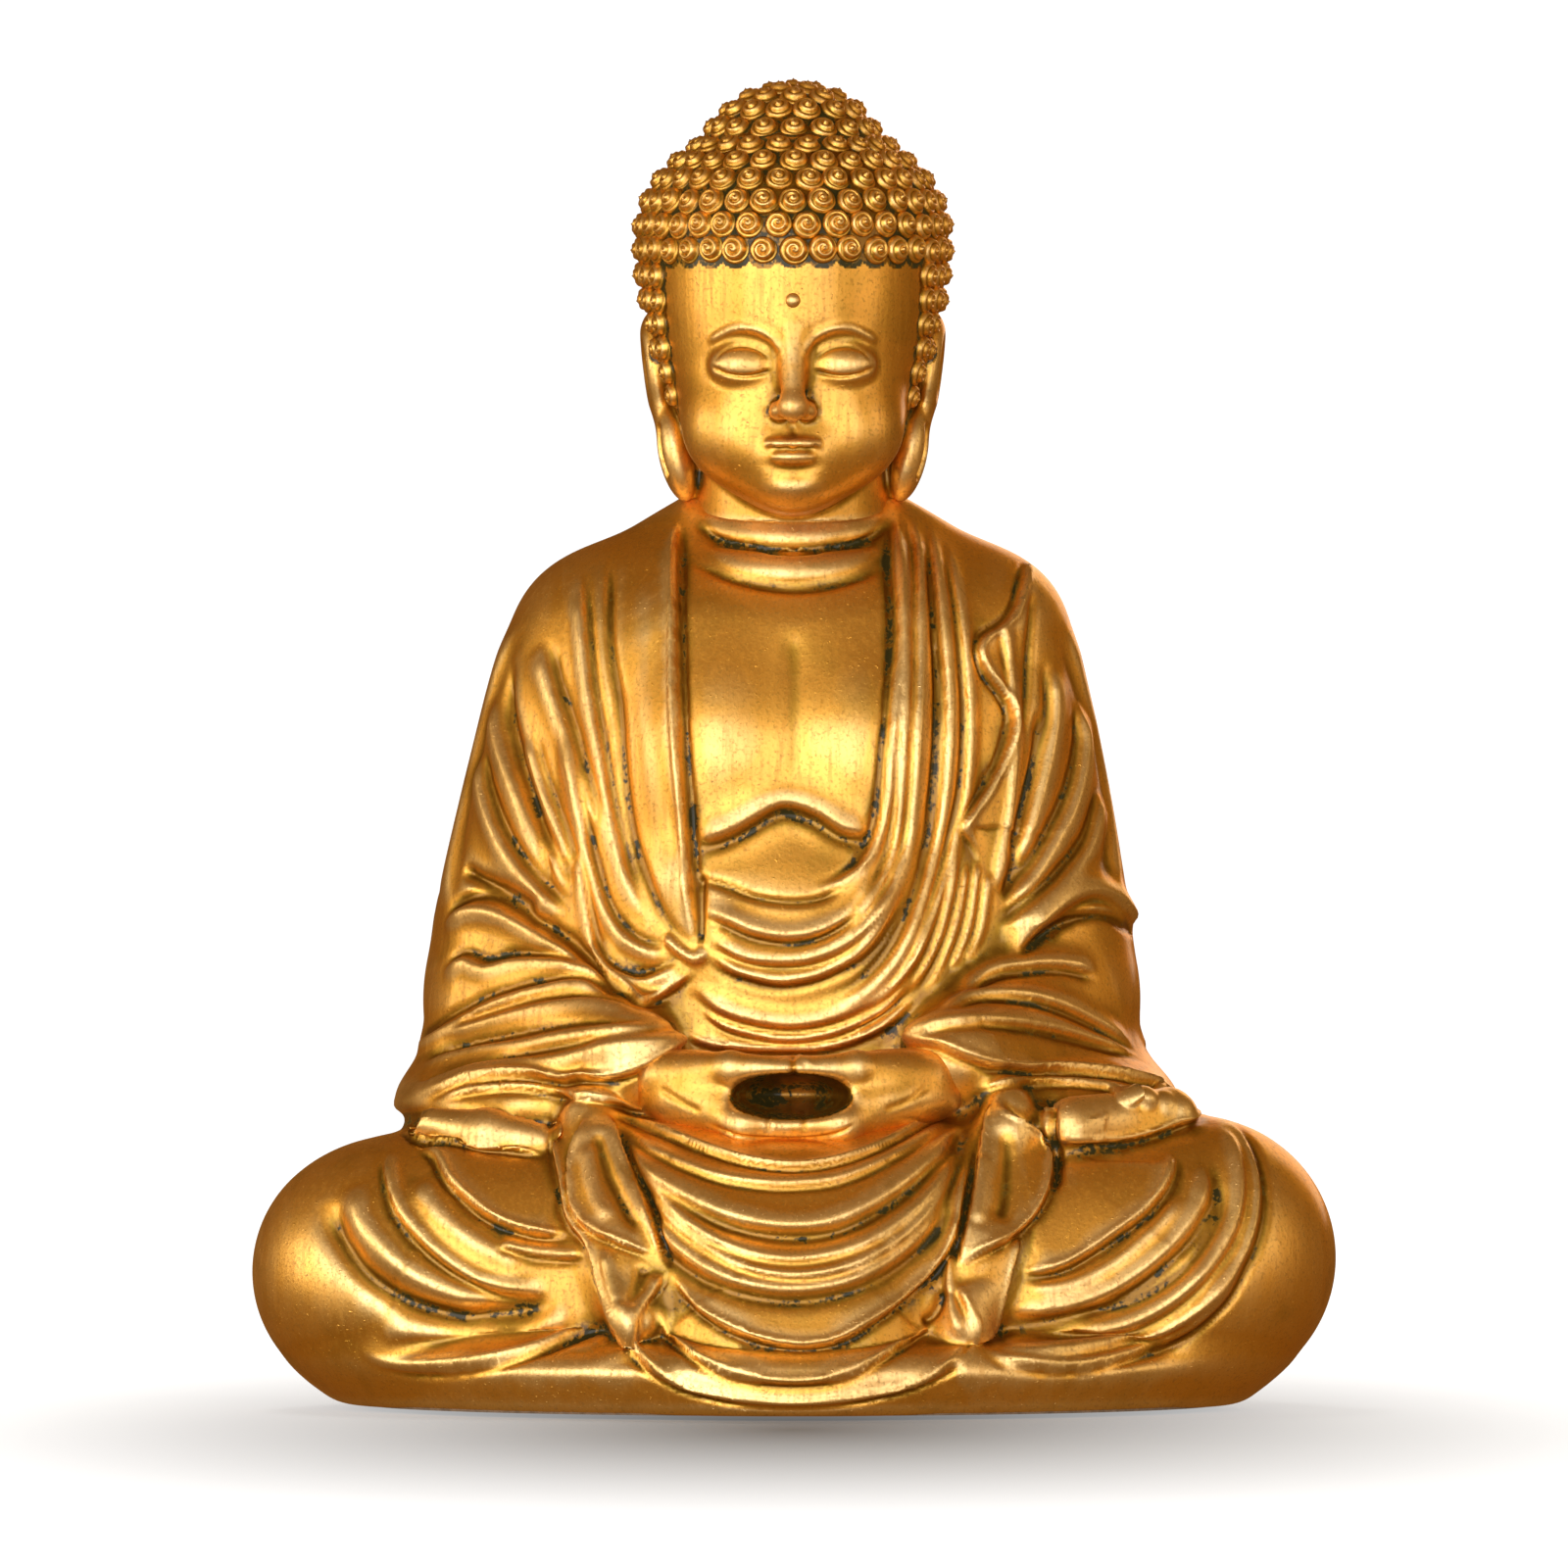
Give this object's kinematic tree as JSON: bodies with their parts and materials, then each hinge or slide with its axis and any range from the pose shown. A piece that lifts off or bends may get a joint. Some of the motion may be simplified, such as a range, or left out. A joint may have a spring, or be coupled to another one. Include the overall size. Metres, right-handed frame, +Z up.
{
  "type": "seated meditation statue",
  "caption": "Seated figure with crossed legs, joined hands in the lap, draped robe and hair of small round curls, on a closed flat base.",
  "frame": {"origin": "middle of the footprint, on the surface that the felt pads stand on", "axes": "+Z is up, -Y is the side that the figure faces, and +X is across the knees"},
  "size_m": [0.2442, 0.1653, 0.3],
  "materials": {
    "gold_casting": "metallic gold paint over cast resin, rubbed bright on the high places and dark in the folds",
    "gold_trim": "metallic gold paint over cast resin, dark between the curls",
    "board": "stained fibreboard",
    "felt": "pressed felt",
    "steel_pin": "ground steel rod"
  },
  "bodies": {
    "root": {"leg_casting": "gold_casting", "torso_casting": "gold_casting", "hands_casting": "gold_casting", "head_casting": "gold_casting", "skull_curls": "gold_trim", "crown_curls": "gold_trim", "forehead_bead": "gold_trim", "base_plate": "board", "felt_pads": "felt", "torso_dowels": "steel_pin", "hand_pegs": "steel_pin"}
  },
  "joints": []
}
